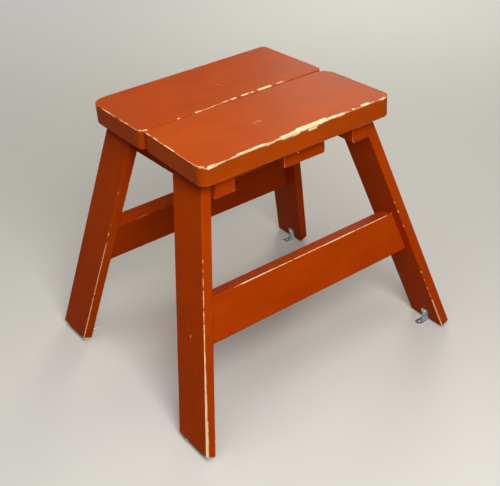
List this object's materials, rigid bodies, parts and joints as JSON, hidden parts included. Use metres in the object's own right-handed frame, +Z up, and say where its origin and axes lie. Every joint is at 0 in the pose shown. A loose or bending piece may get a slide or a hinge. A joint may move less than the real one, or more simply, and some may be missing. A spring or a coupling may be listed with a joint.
{
  "type": "splayed-leg plank stool",
  "caption": "Low painted wooden stool: a split plank seat on battens, legs splayed both ways, a rail front and rear, and corner braces and glides at the feet.",
  "frame": {"origin": "on the floor, below the middle of the seat", "axes": "+X along the seat boards to the stool's right, -Y to the front, +Z up"},
  "size_m": [0.6012, 0.5342, 0.503],
  "materials": {
    "seat_paint": "gloss red-orange paint over softwood, worn through to pale wood at the edges",
    "frame_paint": "satin red-orange paint over softwood, worn along the outer edges",
    "zinc": "dull zinc plate",
    "glide_plastic": "off-white moulded plastic, slightly scuffed"
  },
  "bodies": {
    "root": {"seat_board_front": "seat_paint", "seat_board_rear": "seat_paint", "batten_left": "frame_paint", "batten_centre": "frame_paint", "batten_right": "frame_paint", "leg_front_left": "frame_paint", "leg_front_right": "frame_paint", "leg_rear_left": "frame_paint", "leg_rear_right": "frame_paint", "rail_front": "frame_paint", "rail_rear": "frame_paint", "brace_front_left": "zinc", "brace_front_right": "zinc", "brace_rear_left": "zinc", "brace_rear_right": "zinc", "brace_screw_front_left": "zinc", "brace_screw_front_right": "zinc", "brace_screw_rear_left": "zinc", "brace_screw_rear_right": "zinc", "glide_front_left_1": "glide_plastic", "glide_front_left_2": "glide_plastic", "glide_front_right_1": "glide_plastic", "glide_front_right_2": "glide_plastic", "glide_rear_left_1": "glide_plastic", "glide_rear_left_2": "glide_plastic", "glide_rear_right_1": "glide_plastic", "glide_rear_right_2": "glide_plastic", "leg_screw_front_left_1": "zinc", "leg_screw_front_left_2": "zinc", "leg_screw_front_left_3": "zinc", "leg_screw_front_right_1": "zinc", "leg_screw_front_right_2": "zinc", "leg_screw_front_right_3": "zinc", "leg_screw_rear_left_1": "zinc", "leg_screw_rear_left_2": "zinc", "leg_screw_rear_left_3": "zinc", "leg_screw_rear_right_1": "zinc", "leg_screw_rear_right_2": "zinc", "leg_screw_rear_right_3": "zinc", "rail_screw_front_left_1": "zinc", "rail_screw_front_left_2": "zinc", "rail_screw_front_right_1": "zinc", "rail_screw_front_right_2": "zinc", "rail_screw_rear_left_1": "zinc", "rail_screw_rear_left_2": "zinc", "rail_screw_rear_right_1": "zinc", "rail_screw_rear_right_2": "zinc", "seat_screw_left_front_1": "zinc", "seat_screw_left_front_2": "zinc", "seat_screw_left_rear_1": "zinc", "seat_screw_left_rear_2": "zinc", "seat_screw_centre_front_1": "zinc", "seat_screw_centre_front_2": "zinc", "seat_screw_centre_rear_1": "zinc", "seat_screw_centre_rear_2": "zinc", "seat_screw_right_front_1": "zinc", "seat_screw_right_front_2": "zinc", "seat_screw_right_rear_1": "zinc", "seat_screw_right_rear_2": "zinc"}
  },
  "joints": []
}
